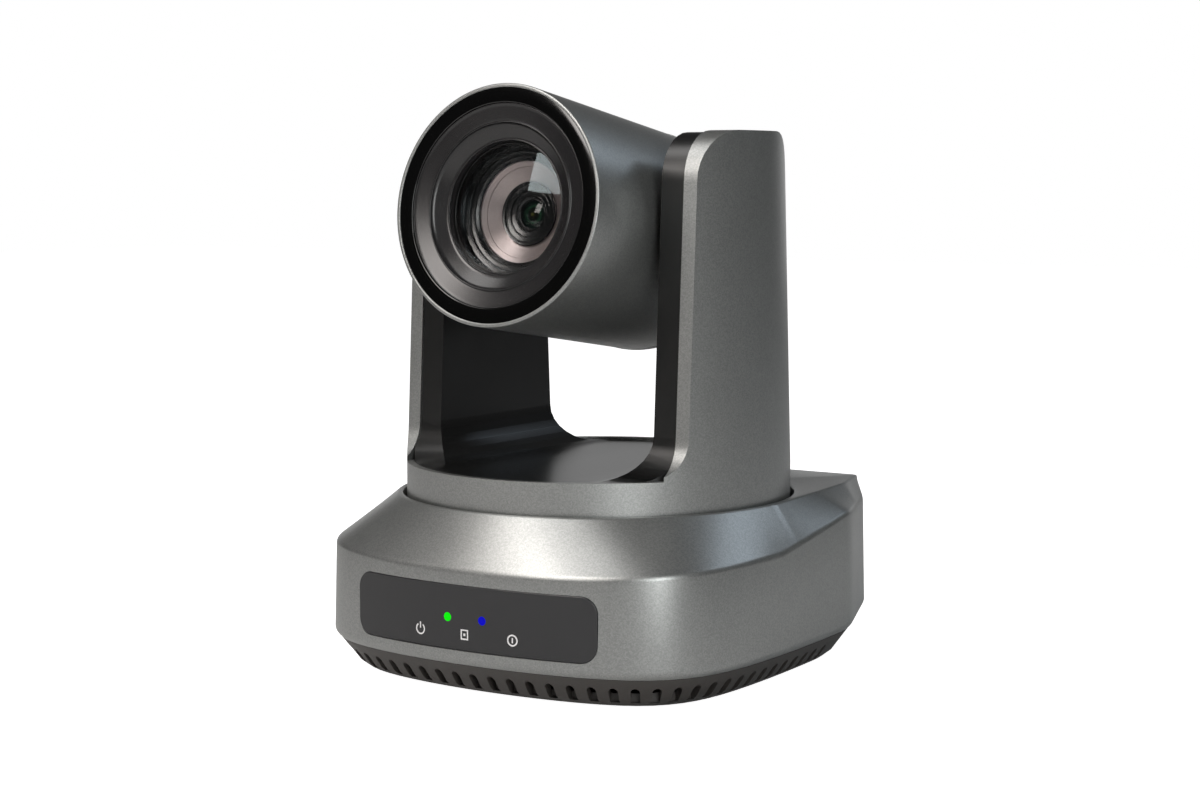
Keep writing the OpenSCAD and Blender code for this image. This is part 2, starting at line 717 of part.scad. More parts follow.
// Space between the arms, its lower corners rounded, grown outwards by grow
function gap_side(grow) = concat(
    [[cheek_x + grow, arm_h + over]],
    arc(cheek_x - floor_fillet, floor_fillet - floor_drop, floor_fillet + grow, 0, -90)
);
floor_drop = 0.9;
module arm_gap(grow) {
    translate([0, 2 * table_r, lip_z]) rotate([90, 0, 0]) linear_extrude(4 * table_r)
        polygon(both_sides(gap_side(grow)));
}

module yoke_shell() {
    color("#8f8d88") difference() {
        intersection() {
            arm_cone(0);
            arm_prism(0, -2 * table_r, 2 * table_r);
            slab(-2 * table_r, 2 * table_r, -2 * table_r, 2 * table_r, skirt_z, lip_z + arm_h + over);
        }
        intersection() {
            arm_cone(arm_wall);
            arm_prism(arm_wall, -2 * table_r, 2 * table_r);
        }
        translate([0, 0, skirt_z - over])
            cylinder(r = table_r - arm_wall, h = lip_z - skirt_z + 2 * over, $fn = 128);
        slab(-seam_x, seam_x, -2 * table_r, 2 * table_r, lip_z, lip_z + arm_h + over);
    }
}

liner_inset = 0.5;
liner_wall = 2;
hub_hole_r = 9;
module yoke_liner() {
    lid_x = seam_x - fit_gap;
    color("#1b1a1b") difference() {
        intersection() {
            arm_cone(arm_wall + fit_gap);
            arm_prism(liner_inset, -lid_x, lid_x);
            slab(-lid_x, lid_x, -2 * table_r, 2 * table_r, lip_z - floor_drop - liner_wall, lip_z + arm_h);
        }
        arm_gap(0);
        difference() {
            intersection() {
                arm_prism(liner_inset + liner_wall, -lid_x - over, lid_x + over);
                arm_cone(arm_wall + liner_wall);
            }
            arm_gap(liner_wall);
        }
        translate([0, 0, tilt_z]) along_x(-2 * table_r) cylinder(r = hub_hole_r, h = 4 * table_r);
    }
}

// ---- Arm frame and tilt drive ----------------------------------------------------------------

upright_x = 46.4;
upright_t = 2;
bearing_tilt_r = 8;
bearing_tilt_h = 4;
bearing_tilt_x = upright_x - 0.4;
shaft_r = 4;
foot_plate_z = table_z + table_t + 0.05;
tilt_gear_x = 42.4;
tilt_gear_h = 3;
tilt_centre = tilt_module * (tilt_teeth + tilt_pinion_teeth) / 2;
tilt_motor_z = tilt_z - tilt_centre;

module yoke_frame() {
    half = 18;
    color("#a4a8ab") difference() {
        union() {
            slab(-upright_x - upright_t, upright_x + upright_t, -half, half,
                foot_plate_z, foot_plate_z + upright_t);
            for (s = [-1, 1]) {
                x0 = s > 0 ? upright_x : -upright_x - upright_t;
                slab(x0, x0 + upright_t, -half, half, foot_plate_z, tilt_z);
                translate([0, 0, tilt_z]) along_x(x0) cylinder(r = half, h = upright_t);
            }
        }
        translate([0, 0, tilt_z]) along_x(-2 * table_r) cylinder(r = bearing_tilt_r + 0.02, h = 4 * table_r);
        translate([0, 0, tilt_motor_z]) along_x(0) cylinder(r = 2.4, h = 2 * table_r);
        translate([0, 0, table_z]) cylinder(r = hub_bore, h = 4 * table_t);
        for (a = [45:90:315]) rotate([0, 0, a]) translate([table_screw_at, 0, table_z])
            cylinder(r = screw_r - fit_gap / 2, h = 4 * table_t);
    }
}
module yoke_screws() {
    shank_h = foot_plate_z + 1.8 - screw_head_z;
    color("#3a3a3c") for (a = [45:90:315]) rotate([0, 0, a])
        translate([table_screw_at, 0, screw_head_z]) screw(screw_r - fit_gap, shank_h, 2.6, 1.2);
}
screw_head_z = frame_z + bearing_h + 1.2 + free_gap - 0.05;

module tilt_bearings() {
    color("#c9ccd0") for (s = [-1, 1])
        translate([0, 0, tilt_z])
            along_x(s > 0 ? bearing_tilt_x : -bearing_tilt_x - bearing_tilt_h) difference() {
            cylinder(r = bearing_tilt_r, h = bearing_tilt_h);
            translate([0, 0, -over]) cylinder(r = shaft_r + run_gap, h = bearing_tilt_h + 2 * over);
        }
}
tilt_shaft_r = 1;
module tilt_motor() {
    color("#a8abae") translate([0, 0, tilt_motor_z]) along_x(upright_x + upright_t + 0.05) difference() {
        cylinder(r = 9, h = 5.6);
        translate([0, 0, -over]) cylinder(r = tilt_shaft_r + run_gap, h = 4);
    }
}
module tilt_pinion() {
    color("#d8d4c6") translate([0, 0, tilt_motor_z]) {
        along_x(tilt_gear_x) rotate([0, 0, 180 / tilt_pinion_teeth])
            gear(tilt_module, tilt_pinion_teeth, tilt_gear_h, tilt_shaft_r - 0.2);
        along_x(tilt_gear_x) cylinder(r = tilt_shaft_r, h = upright_x + upright_t - tilt_gear_x + 2.6);
    }
}
module tilt_gear() {
    color("#d8d4c6") translate([0, 0, tilt_z]) along_x(tilt_gear_x)
        gear(tilt_module, tilt_teeth, tilt_gear_h, shaft_r + 0.02);
}

// ---- Head: built along local +Z, the way the lens looks, with the tilt axis at its origin ----

module head_place() { translate([0, 0, tilt_z]) rotate([90 - rest_tilt, 0, 0]) children(); }
function head_rad(z) = head_r - head_taper * (head_front - z);
function reversed(list) = [for (k = [len(list) - 1:-1:0]) list[k]];
module turned(points) { rotate_extrude($fn = 128) polygon(points); }

hub_r_head = 6;
module head_shell() {
    color("#8f8d88") head_place() difference() {
        turned([
            [head_rad(-cap_seam), -cap_seam], [head_r - 0.3, head_front - 0.6], [head_r - 0.6, head_front],
            [head_r - rim_w, head_front], [head_r - rim_w, head_front - 2.4],
            [head_r - head_wall, head_front - 2.4], [head_rad(-cap_seam) - head_wall, -cap_seam]
        ]);
        along_x(-2 * head_r) cylinder(r = hub_r_head + fit_gap, h = 4 * head_r);
    }
}
function cap_arc(r, back, steps) = [for (k = [0:steps]) let (a = 90 * k / steps)
    [r * pow(cos(a), cap_squareness), -cap_seam - (back - cap_seam) * sin(a)]];
cap_squareness = 0.45;
module rear_cap() {
    r = head_rad(-cap_seam) - 0.15;
    outside = cap_arc(r, head_back, 20);
    inside = cap_arc(r - head_wall, head_back - head_wall, 14);
    color("#8f8d88") head_place() turned(concat(outside, reversed(inside)));
}
bezel_back = 0.3;
module front_bezel() {
    color("#0c0c0d") head_place() turned([
        [bezel_r, head_front - bezel_back - 0.2], [bezel_r + 0.2, head_front - bezel_back],
        [head_r - rim_w - 0.05, head_front - bezel_back], [head_r - rim_w - 0.05, head_front - 2.3],
        [bezel_r, head_front - 2.3]
    ]);
}
cone_deep = 2.1;
cone_end = 4.8;
module cone_ring() {
    color("#2b2a2b") head_place() turned([
        [bezel_r - 0.05, head_front - bezel_back - 0.5], [step_r + 0.3, head_front - cone_deep],
        [step_r, head_front - cone_deep - 0.4], [lens_r, head_front - cone_end],
        [lens_r, head_front - cone_end - 2], [bezel_r + 2, head_front - cone_end - 2],
        [bezel_r + 2, head_front - 2.35], [bezel_r - 0.05, head_front - 2.35]
    ]);
}
barrel_r = 23.5;
barrel_front = head_front - cone_end - 2.05;
barrel_back = -17;
module lens_barrel() {
    color("#151516") head_place() translate([0, 0, barrel_back])
        tube(barrel_r, barrel_r - 1.8, barrel_front - barrel_back);
}
// A lens element: two shallow spherical faces and a straight rim
module lens(r, z, rim, front_sag, back_sag) {
    steps = 8;
    function cap(sag, up) = [for (k = [0:steps]) let (x = r * k / steps)
        [x, up * (rim / 2 + sag * (1 - pow(x / r, 2)))]];
    head_place() translate([0, 0, z]) turned(concat(cap(back_sag, -1), reversed(cap(front_sag, 1))));
}
front_lens_z = barrel_front - 4.2;
front_lens_r = lens_r - 0.6;
cone_front_r = 15;
inside_barrel = barrel_r - 1.85;
module front_lens() {
    color([0.35, 0.4, 0.4, 0.35]) lens(front_lens_r, front_lens_z, 2.4, 2.4, 0.6);
}
module baffle_rings() {
    seat_r = front_lens_r + fit_gap;
    color("#101011") head_place() turned([
        [inside_barrel, barrel_front], [inside_barrel, front_lens_z - 3], [cone_front_r, front_lens_z - 3],
        [cone_front_r, front_lens_z - 2.2], [seat_r, front_lens_z - 2.2], [seat_r, front_lens_z + 1.6],
        [seat_r - 0.3, front_lens_z + 2], [seat_r - 0.3, barrel_front - 1.4],
        [seat_r + 0.3, barrel_front - 0.9], [seat_r + 0.3, barrel_front]
    ]);
}
inner_front = front_lens_z - 3.2;
second_z = inner_front - 5.2;
module inner_cone() {
    color("#8a8082") head_place() turned([
        [inside_barrel, inner_front], [cone_front_r, inner_front], [13.4, inner_front - 1.2],
        [13.2, inner_front - 1.2], [second_r + 0.05, second_z + 1.4],
        [second_r + 0.05, second_z - 2], [inside_barrel, second_z - 2]
    ]);
}
second_r = 9.35;
module second_lens() {
    color([0.3, 0.42, 0.36, 0.35]) lens(second_r, second_z, 2.2, 1.2, 0.4);
}
iris_z = second_z - 16;
module iris_plate() {
    color("#1a1a1b") head_place() translate([0, 0, iris_z]) difference() {
        tube(inside_barrel, 5, 1.2);
        for (s = [-1, 1]) translate([s * rod_at, 0, -over]) cylinder(r = rod_r + fit_gap, h = 4);
    }
}
rod_r = 1;
rod_at = 16.5;
module guide_rods() {
    color("#c9ccd0") head_place() for (s = [-1, 1]) translate([s * rod_at, 0, barrel_back + 0.1])
        cylinder(r = rod_r, h = second_z - 2.1 - barrel_back);
}
carriage_r = 18.6;
zoom_z = second_z - 7.5;
focus_z = barrel_back + 8;
module carriage(z, glass_r) {
    head_place() translate([0, 0, z]) difference() {
        cylinder(r = carriage_r, h = 4);
        translate([0, 0, -over]) cylinder(r = glass_r, h = 4 + 2 * over);
        for (s = [-1, 1]) translate([s * rod_at, 0, -over])
            cylinder(r = rod_r + run_gap, h = 4 + 2 * over);
    }
}
module zoom_carriage() { color("#202022") carriage(zoom_z, 8); }
module zoom_lens() { color([0.35, 0.4, 0.45, 0.35]) lens(7.98, zoom_z + 2, 2, 0.6, 0.6); }
module focus_carriage() { color("#202022") carriage(focus_z, 9); }
module focus_lens() { color([0.35, 0.4, 0.45, 0.35]) lens(8.98, focus_z + 2, 2, 0.7, 0.5); }
sensor_z = barrel_back - 1.2;
module image_sensor() {
    color("#3b3f4a") head_place() translate([-5, -4, sensor_z - 1]) cube([10, 8, 2]);
}
module sensor_board() {
    color("#1f5a38") head_place() translate([-20, -20, sensor_z - 1.05 - board_t]) cube([40, 40, board_t]);
}
chassis_x = 26;
head_hole_r = 1.1;
module head_chassis() {
    color("#9ea2a5") head_place() difference() {
        union() {
            for (s = [-1, 1]) slab(s > 0 ? chassis_x : -chassis_x - 1.5, s > 0 ? chassis_x + 1.5 : -chassis_x,
                -17, 12, -18, 18);
            intersection() {
                slab(-chassis_x - 1.5, chassis_x + 1.5, -25.5, -barrel_r - 0.3, -18, 18);
                cylinder(r = head_r - head_wall - 1, h = 60, center = true);
            }
            for (s = [-1, 1]) intersection() {
                slab(s > 0 ? chassis_x - 9 : -chassis_x - 1.5, s > 0 ? chassis_x + 1.5 : -chassis_x + 9,
                    -25.5, -16, -18, 18);
                difference() {
                    cylinder(r = head_r - head_wall - 1, h = 36, center = true);
                    cylinder(r = barrel_r + 0.3, h = 60, center = true);
                }
            }
        }
        for (x = [-30, 20], z = [-7, 7]) translate([0, 0, z]) along_x(x)
            cylinder(r = head_hole_r, h = 10, $fn = 32);
    }
}
module tilt_hub(side, reach) {
    flange_r = 10;
    head_place() mirror([side < 0 ? 1 : 0, 0, 0]) difference() {
        union() {
            along_x(chassis_x + 1.55) cylinder(r = flange_r, h = 2);
            along_x(chassis_x + 1.55) cylinder(r = hub_r_head, h = tilt_gear_x - 0.4 - chassis_x - 1.55);
            along_x(chassis_x + 1.55) cylinder(r = shaft_r, h = reach - chassis_x - 1.55);
        }
        along_x(chassis_x) cylinder(r = 2.2, h = 2 * table_r);
        for (z = [-7, 7]) translate([0, 0, z]) along_x(chassis_x)
            cylinder(r = head_hole_r, h = 4, $fn = 32);
    }
}
hub_reach = bearing_tilt_x + bearing_tilt_h + 0.6;
module tilt_hub_right() { color("#b4b7ba") tilt_hub(1, hub_reach); }
module tilt_hub_left() { color("#b4b7ba") tilt_hub(-1, hub_reach); }
module head_screws() {
    color("#3a3a3c") head_place() for (s = [-1, 1], z = [-7, 7])
        mirror([s < 0 ? 1 : 0, 0, 0]) translate([0, 0, z]) along_x(chassis_x + 0.2)
            cylinder(r = head_hole_r - fit_gap, h = 3.1, $fn = 32);
}

base_cover();
bottom_tray();
base_screws();
rubber_feet();
tripod_bush();
front_window();
power_light();
standby_light();
light_board();
ir_receiver();
main_board();
heat_sink();
rear_panel();
lan_socket();
hdmi_socket();
usb_socket();
serial_socket();
audio_jack();
dc_jack();
switch_frame();
power_switch();
selector_dial();
base_frame();
pan_bearing();
pan_motor();
pan_pinion();
turntable();
pan_gear();
yoke_shell();
yoke_liner();
yoke_frame();
yoke_screws();
tilt_bearings();
tilt_motor();
tilt_pinion();
tilt_gear();
tilt_hub_left();
tilt_hub_right();
head_shell();
rear_cap();
front_bezel();
cone_ring();
lens_barrel();
front_lens();
baffle_rings();
inner_cone();
second_lens();
iris_plate();
guide_rods();
zoom_carriage();
zoom_lens();
focus_carriage();
focus_lens();
image_sensor();
sensor_board();
head_chassis();
head_screws();
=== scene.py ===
import bpy, bmesh, json, math
from mathutils import Matrix, Vector


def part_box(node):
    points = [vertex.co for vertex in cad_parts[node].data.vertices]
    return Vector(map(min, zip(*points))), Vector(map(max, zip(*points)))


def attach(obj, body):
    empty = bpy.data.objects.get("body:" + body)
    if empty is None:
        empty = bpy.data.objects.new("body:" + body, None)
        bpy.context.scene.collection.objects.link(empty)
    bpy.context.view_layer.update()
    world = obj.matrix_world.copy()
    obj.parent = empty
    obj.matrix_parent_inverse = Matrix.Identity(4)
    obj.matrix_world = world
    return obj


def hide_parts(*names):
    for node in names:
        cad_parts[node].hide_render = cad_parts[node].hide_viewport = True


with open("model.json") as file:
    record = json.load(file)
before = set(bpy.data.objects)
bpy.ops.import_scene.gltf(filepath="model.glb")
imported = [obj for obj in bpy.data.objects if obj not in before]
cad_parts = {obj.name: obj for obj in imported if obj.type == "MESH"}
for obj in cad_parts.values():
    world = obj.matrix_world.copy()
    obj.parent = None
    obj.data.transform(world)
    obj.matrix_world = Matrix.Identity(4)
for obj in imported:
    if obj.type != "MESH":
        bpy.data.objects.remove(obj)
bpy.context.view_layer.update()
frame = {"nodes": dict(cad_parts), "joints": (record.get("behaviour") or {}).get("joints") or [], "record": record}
nodes = frame["nodes"]
joints = {j["name"]: j for j in frame["joints"]}
slotOf = {p["node"]: p["material_slot"] for p in frame["record"]["subparts"]}
bodyOf = {n: b for b, names in frame["record"]["behaviour"]["bodies"].items() for n in names}
mm = 0.001

tiltPoint = Vector(joints["tilt"]["pos_m"])
lensAxis = Vector(joints["zoom"]["axis"]).normalized()
headPlace = Matrix.Translation(tiltPoint) @ Vector((0, 0, 1)).rotation_difference(lensAxis).to_matrix().to_4x4()


def lensSpan(node):
    # back, front, smallest and largest radius of a round node about the lens axis, in mm
    along, away = [], []
    for v in nodes[node].data.vertices:
        d = v.co - tiltPoint
        z = d.dot(lensAxis)
        along.append(z / mm)
        away.append((d - lensAxis * z).length / mm)
    return min(along), max(along), min(away), max(away)


# lens in mm, distance in m, turn and lift in degrees, aim in mm from the pan axis and the floor
viewSizes = {"lens": 67.74, "distance": 0.6979, "turn": 32.70, "lift": 5.62, "aimZ": 81.25, "aimSide": 0.4}


def makeCamera(s):
    turn, lift = math.radians(s["turn"]), math.radians(s["lift"])
    back = Vector((math.sin(turn) * math.cos(lift), -math.cos(turn) * math.cos(lift), math.sin(lift)))
    side = Vector((math.cos(turn), math.sin(turn), 0))
    aim = Vector((0, 0, s["aimZ"] * mm)) + side * s["aimSide"] * mm
    data = bpy.data.cameras.new("studioCamera")
    data.lens, data.sensor_width = s["lens"], 36
    data.clip_start, data.clip_end = 0.01, 50
    camera = bpy.data.objects.new("studioCamera", data)
    camera.location = aim + back * s["distance"]
    camera.rotation_euler = (-back).to_track_quat("-Z", "Y").to_euler()
    bpy.context.scene.collection.objects.link(camera)
    bpy.context.scene.camera = camera
    return back, side


viewBack, viewSide = makeCamera(viewSizes)


def softLight(name, turn, lift, distance, size, power, colour):
    # a softbox aimed at the middle of the object; turn 0 is in front, positive to the right
    a, e = math.radians(turn), math.radians(lift)
    back = Vector((math.sin(a) * math.cos(e), -math.cos(a) * math.cos(e), math.sin(e)))
    data = bpy.data.lights.new(name, "AREA")
    data.shape = "RECTANGLE"
    data.size, data.size_y = size
    data.energy, data.color = power, colour
    lamp = bpy.data.objects.new(name, data)
    lamp.location = Vector((0, 0, 0.09)) + back * distance
    lamp.rotation_euler = (-back).to_track_quat("-Z", "Y").to_euler()
    bpy.context.scene.collection.objects.link(lamp)


# turn, lift, distance in m, size in m, watts, colour
lightSizes = {
    "warmFront": (-18, 38, 1.2, (0.42, 0.7), 9, (1, 0.95, 0.91)),
    "keyRight": (50, 17, 1.2, (0.42, 0.8), 7.5, (0.98, 1, 0.99)),
    "overhead": (-50, 66, 1.2, (0.6, 0.6), 4.5, (1, 0.98, 0.96)),
    "backRight": (148, 38, 1.2, (0.25, 0.5), 1.3, (0.75, 0.87, 1)),
}
for lightName, values in lightSizes.items():
    softLight(lightName, *values)
print("camera and lights placed")


def linear(hexColour):
    parts = [int(hexColour[i:i + 2], 16) / 255 for i in (1, 3, 5)]
    return tuple(c / 12.92 if c <= 0.04045 else ((c + 0.055) / 1.055) ** 2.4 for c in parts) + (1,)


def add(tree, kind, settings=None, links=None):
    # adds a node, sets its properties or input values, and links its inputs from other nodes' outputs
    node = tree.nodes.new(kind)
    for key, value in (settings or {}).items():
        if isinstance(key, str) and hasattr(node, key):
            setattr(node, key, value)
        else:
            node.inputs[key].default_value = value
    for key, source in (links or {}).items():
        tree.links.new(source, node.inputs[key])
    return node


def newMaterial(name, values):
    material = bpy.data.materials.new(name)
    material.use_nodes = True
    shader = material.node_tree.nodes["Principled BSDF"]
    for key, value in values.items():
        shader.inputs[key].default_value = value
    return material, material.node_tree, shader


def grain(tree, shader, sizeMm, dark, light, roughLow, roughHigh, bumpMm, detail=3):
    # one fine noise drives a little colour variation, roughness and bump
    where = add(tree, "ShaderNodeTexCoord")
    noise = add(tree, "ShaderNodeTexNoise", {"Scale": 1 / (sizeMm * mm), "Detail": detail},
                {"Vector": where.outputs["Object"]})
    colour = add(tree, "ShaderNodeMix", {"data_type": "RGBA", 6: linear(dark), 7: linear(light)},
                 {0: noise.outputs["Fac"]})
    rough = add(tree, "ShaderNodeMapRange", {"From Min": 0.3, "From Max": 0.7, "To Min": roughLow, "To Max": roughHigh},
                {"Value": noise.outputs["Fac"]})
    tree.links.new(colour.outputs[2], shader.inputs["Base Color"])
    tree.links.new(rough.outputs[0], shader.inputs["Roughness"])
    if bumpMm:
        bump = add(tree, "ShaderNodeBump", {"Strength": 1, "Distance": bumpMm * mm}, {"Height": noise.outputs["Fac"]})
        tree.links.new(bump.outputs[0], shader.inputs["Normal"])
    return noise


# Metallic lacquer sprayed on moulded ABS: aluminium flake under a satin clear coat gives soft wide highlights
# and a faint sparkle. Flakes are about 0.05 mm and are drawn at 0.35 mm so that they show.
def sprayedMetallicLacquer():
    flakeMm = 0.35
    material, tree, shader = newMaterial("sprayedMetallicLacquer", {"Metallic": 0.82, "Coat Weight": 0.25,
                                                                    "Coat Roughness": 0.35})
    where = add(tree, "ShaderNodeTexCoord")
    flakes = add(tree, "ShaderNodeTexVoronoi", {"Scale": 1 / (flakeMm * mm)}, {"Vector": where.outputs["Object"]})
    cloud = add(tree, "ShaderNodeTexNoise", {"Scale": 1 / (14 * mm), "Detail": 2}, {"Vector": where.outputs["Object"]})
    single = add(tree, "ShaderNodeSeparateColor", {}, {"Color": flakes.outputs["Color"]})
    colour = add(tree, "ShaderNodeMix", {"data_type": "RGBA", 6: linear("#888a89"), 7: linear("#9a9b9a")},
                 {0: single.outputs[0]})
    rough = add(tree, "ShaderNodeMapRange", {"To Min": 0.36, "To Max": 0.42}, {"Value": cloud.outputs["Fac"]})
    bump = add(tree, "ShaderNodeBump", {"Strength": 0.25, "Distance": 0.012 * mm}, {"Height": single.outputs[1]})
    tree.links.new(colour.outputs[2], shader.inputs["Base Color"])
    tree.links.new(rough.outputs[0], shader.inputs["Roughness"])
    tree.links.new(bump.outputs[0], shader.inputs["Normal"])
    return material


# ABS moulded against a fine spark texture: dark, with a soft sheen and no clear reflection
def mouldedPlastic(name, dark, light, rough, grainMm=0.4, bumpMm=0.02):
    material, tree, shader = newMaterial(name, {"IOR": 1.53})
    grain(tree, shader, grainMm, dark, light, rough * 0.97, rough * 1.03, bumpMm)
    return material


# Bare or plated metal with a fine directionless finish
def plainMetal(name, dark, light, rough, grainMm=0.5, bumpMm=0.01):
    material, tree, shader = newMaterial(name, {"Metallic": 1})
    grain(tree, shader, grainMm, dark, light, rough * 0.93, rough * 1.07, bumpMm)
    return material


# Glass ground and polished, with a thin coating that leaves only a faint tinted reflection
def coatedGlass(name, tint, alpha):
    return newMaterial(name, {"Base Color": (0.004, 0.006, 0.006, 1), "IOR": 1.52, "Roughness": 0.02,
                              "Specular Tint": linear(tint), "Alpha": alpha})[0]


# ABS ring turned by a lathe-cut mould: fine grooves round the lens axis catch a broken sheen
def turnedRing(name, dark, light, rough, pitchMm, metallic=0.0):
    material, tree, shader = newMaterial(name, {"IOR": 1.53, "Metallic": metallic})
    where = add(tree, "ShaderNodeTexCoord")
    toAxis = headPlace.inverted()
    spot = add(tree, "ShaderNodeMapping", {"Location": toAxis.to_translation(), "Rotation": toAxis.to_euler()},
               {"Vector": where.outputs["Object"]})
    grooves = add(tree, "ShaderNodeTexWave", {"wave_type": "RINGS", "rings_direction": "Z",
                                              "Scale": 1 / (pitchMm * mm * math.pi * 2 * 0.5), "Distortion": 0},
                  {"Vector": spot.outputs[0]})
    speck = add(tree, "ShaderNodeTexNoise", {"Scale": 1 / (0.5 * mm), "Detail": 2}, {"Vector": where.outputs["Object"]})
    colour = add(tree, "ShaderNodeMix", {"data_type": "RGBA", 6: linear(dark), 7: linear(light)},
                 {0: speck.outputs["Fac"]})
    roughness = add(tree, "ShaderNodeMapRange", {"To Min": rough * 0.97, "To Max": rough * 1.03},
                    {"Value": speck.outputs["Fac"]})
    bump = add(tree, "ShaderNodeBump", {"Strength": 0.15, "Distance": 0.01 * mm}, {"Height": grooves.outputs["Fac"]})
    tree.links.new(colour.outputs[2], shader.inputs["Base Color"])
    tree.links.new(roughness.outputs[0], shader.inputs["Roughness"])
    tree.links.new(bump.outputs[0], shader.inputs["Normal"])
    return material


# Fibreglass board under green solder mask, with copper tracks that show as lighter straight lines
def solderMask():
    trackMm = 2.5
    material, tree, shader = newMaterial("solderMask", {"IOR": 1.5, "Roughness": 0.35})
    where = add(tree, "ShaderNodeTexCoord")
    tracks = add(tree, "ShaderNodeTexBrick", {"Scale": 1 / (trackMm * 4 * mm), "Color1": linear("#1f5a38"),
                                              "Color2": linear("#2a6b45"), "Mortar": linear("#174a2d")},
                 {"Vector": where.outputs["Object"]})
    tree.links.new(tracks.outputs[0], shader.inputs["Base Color"])
    return material


# Clear light pipe lit from behind by a diode
def litPipe(name, colour, strength):
    return newMaterial(name, {"Base Color": (0, 0, 0, 1), "Specular IOR Level": 0.1,
                              "Emission Color": linear(colour), "Emission Strength": strength})[0]


finishes = {
    "shell_paint": sprayedMetallicLacquer(),
    "dark_plastic": mouldedPlastic("mouldedDarkAbs", "#2c2927", "#3a3633", 0.5),
    "black_steel": plainMetal("blackOxideSteel", "#2a2a2c", "#38383a", 0.45),
    "foot_rubber": mouldedPlastic("pressedRubber", "#161617", "#202021", 0.75, 0.6, 0.05),
    "brass": plainMetal("turnedBrass", "#a88c45", "#c4a962", 0.3),
    "window_acrylic": mouldedPlastic("mouldedDarkAcrylic", "#212123", "#242426", 0.35, 6, 0.0),
    "green_light": litPipe("litGreenPipe", "#05f005", 1.0),
    "blue_light": litPipe("litBluePipe", "#0303c0", 1.0),
    "circuit_board": solderMask(),
    "black_plastic": mouldedPlastic("mouldedBlackAbs", "#131314", "#1c1c1d", 0.42),
    "dark_aluminium": plainMetal("blackAnodisedAluminium", "#2a2a2c", "#333335", 0.4),
    "plated_steel": plainMetal("nickelPlatedSteel", "#b4b6b8", "#c9cbcd", 0.28),
    "white_plastic": mouldedPlastic("mouldedAcetal", "#dcd8ca", "#e6e2d6", 0.4),
    "cast_aluminium": plainMetal("castAluminium", "#9a9da0", "#acafb2", 0.5, 1.2, 0.05),
    "bearing_steel": plainMetal("groundBearingSteel", "#bfc2c5", "#cfd2d5", 0.2),
    "liner_plastic": mouldedPlastic("mouldedBlackSatinAbs", "#0a0a0a", "#0f0f0f", 0.3, 0.8, 0.0),
    "gloss_bezel": mouldedPlastic("polishedBlackAbs", "#000000", "#020202", 0.09, 3, 0.0),
    "cone_plastic": turnedRing("grooveMouldedAbs", "#171617", "#1d1c1d", 0.27, 0.45),
    "coated_glass": coatedGlass("coatedOpticalGlass", "#9cd8c0", 0.2),
    "inner_barrel": turnedRing("turnedGreyBarrel", "#8f8584", "#9c9290", 0.34, 0.5, 0.8),
    "sensor_glass": coatedGlass("sensorCoverGlass", "#8890d0", 0.9),
}
print("materials made:", len(finishes))


def markSharp(bm, angle):
    for e in bm.edges:
        e.smooth = len(e.link_faces) == 2 and e.calc_face_angle(0) < math.radians(angle)
    for f in bm.faces:
        f.smooth = True


def finishPiece(name, bm, node, sharp=32, bevelMm=0.0, segments=2, material=None, slot=None, hides=True):
    markSharp(bm, sharp)
    mesh = bpy.data.meshes.new(name)
    bm.to_mesh(mesh)
    bm.free()
    piece = bpy.data.objects.new(name, mesh)
    bpy.context.scene.collection.objects.link(piece)
    mesh.materials.append(material or finishes[slot or slotOf[node]])
    if bevelMm:
        edge = piece.modifiers.new("edgeRounding", "BEVEL")
        edge.width, edge.segments, edge.limit_method = bevelMm * mm, segments, "ANGLE"
        edge.angle_limit, edge.harden_normals, edge.profile = math.radians(sharp), True, 0.5
    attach(piece, bodyOf[node])
    if hides:
        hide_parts(node)
    return piece


def cadCopy(node, bevelMm=0.25, sharp=32, segments=2):
    # the CAD solid's own surface, merged, with its edges rounded
    bm = bmesh.new()
    bm.from_mesh(nodes[node].data)
    bmesh.ops.remove_doubles(bm, verts=bm.verts, dist=1e-6)
    bmesh.ops.dissolve_limit(bm, angle_limit=math.radians(0.4), verts=bm.verts, edges=bm.edges)
    return finishPiece(node + ".finished", bm, node, sharp, bevelMm, segments)


def spinPiece(name, node, profile, place=headPlace, steps=160, sharp=25, hides=True, slot=None, material=None):
    # turns a closed outline of (radius, height) in mm all the way round the Z axis
    bm = bmesh.new()
    verts = [bm.verts.new((r * mm, 0, z * mm)) for r, z in profile]
    edges = [bm.edges.new((verts[i], verts[(i + 1) % len(verts)])) for i in range(len(verts))]
    bmesh.ops.spin(bm, geom=verts + edges, cent=(0, 0, 0), axis=(0, 0, 1), angle=math.tau, steps=steps, use_merge=True)
    bmesh.ops.remove_doubles(bm, verts=bm.verts, dist=1e-6)
    bmesh.ops.recalc_face_normals(bm, faces=bm.faces)
    bmesh.ops.transform(bm, matrix=place, verts=bm.verts)
    return finishPiece(name, bm, node, sharp, hides=hides, slot=slot, material=material)


for name, obj in nodes.items():
    obj.data.materials.clear()
    obj.data.materials.append(finishes[slotOf[name]])

for name in ("bottom_tray", "rubber_feet", "tripod_bush", "base_screws", "front_window", "rear_panel", "lan_socket",
             "usb_socket", "hdmi_socket", "serial_socket", "audio_jack", "dc_jack", "switch_frame", "power_switch",
             "selector_dial"):
    cadCopy(name)
cadCopy("yoke_shell", bevelMm=0.95, segments=5)
cadCopy("yoke_liner", bevelMm=0.7, segments=4)
print("CAD surfaces finished")


